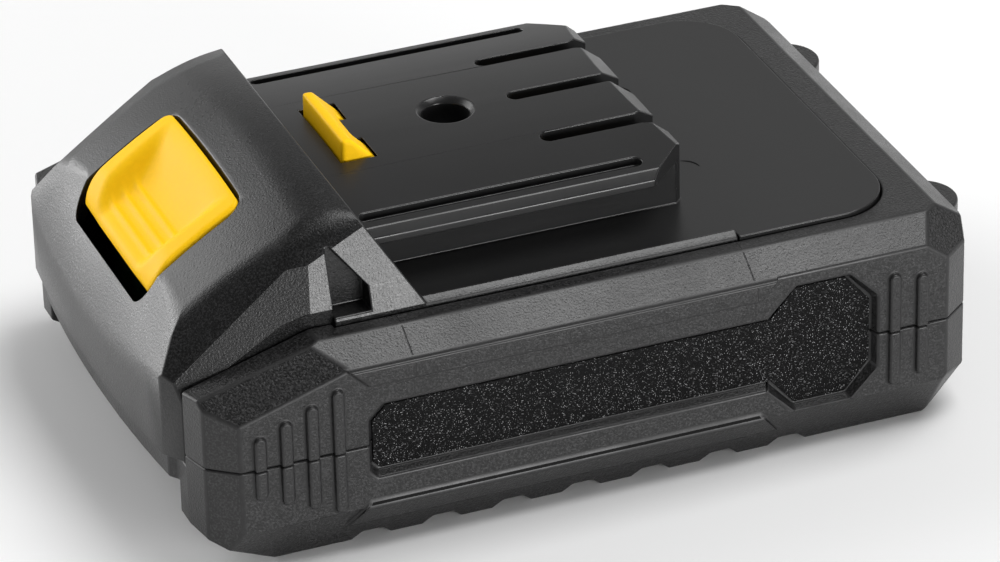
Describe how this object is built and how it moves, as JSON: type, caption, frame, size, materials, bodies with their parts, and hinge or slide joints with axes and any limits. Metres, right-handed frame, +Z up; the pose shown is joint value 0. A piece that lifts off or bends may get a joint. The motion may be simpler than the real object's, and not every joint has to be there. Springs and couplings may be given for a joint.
{
  "type": "power tool battery pack",
  "caption": "Low slide-on battery pack with a crowned T-shaped rail, a sloped hood and a sprung release button with its hook.",
  "frame": {"origin": "centre of the overall box, on the plane of the foot pads", "axes": "+X along the slide from the button end to the rear towers, +Y across the pack, +Z up"},
  "size_m": [0.1166, 0.0776, 0.045],
  "materials": {
    "case": "fine moulded texture",
    "hood": "fine moulded texture",
    "deck": "satin",
    "latch": "satin",
    "spring_steel": "drawn wire",
    "cell_wrap": "shrink wrap",
    "holder": "moulded",
    "nickel": "bright strip",
    "insulator": "fibre paper",
    "board": "solder mask",
    "components": "moulded",
    "screws": "zinc plated",
    "block": "moulded",
    "contact": "bright",
    "sensor": "dipped",
    "label": "fine sparkle"
  },
  "bodies": {
    "pack": {"lower_case": "case", "upper_case": "case", "front_hood": "hood", "slide_deck": "deck", "latch_spring_near": "spring_steel", "latch_spring_far": "spring_steel", "cell_1": "cell_wrap", "cell_2": "cell_wrap", "cell_3": "cell_wrap", "cell_4": "cell_wrap", "cell_5": "cell_wrap", "cell_holder_near": "holder", "cell_holder_far": "holder", "strip_near_1": "nickel", "strip_near_2_3": "nickel", "strip_near_4_5": "nickel", "strip_far_1_2": "nickel", "strip_far_3_4": "nickel", "strip_far_5": "nickel", "insulator_near": "insulator", "insulator_far": "insulator", "circuit_board": "board", "board_components": "components", "board_screws": "screws", "case_screws": "screws", "deck_screw": "screws", "terminal_block": "block", "negative_terminal": "contact", "sense_terminal": "contact", "positive_terminal": "contact", "thermistor": "sensor", "label_near": "label", "label_far": "label"},
    "latch": {"release_latch": "latch"}
  },
  "joints": [
    {"name": "latch_press", "type": "slide", "parent": "pack", "child": "latch", "axis": [0, 0, -1], "range_m": [0, 0.0035], "stiffness_N_per_m": 1200, "springref_m": -0.002, "deforming": ["latch_spring_near", "latch_spring_far"]}
  ]
}
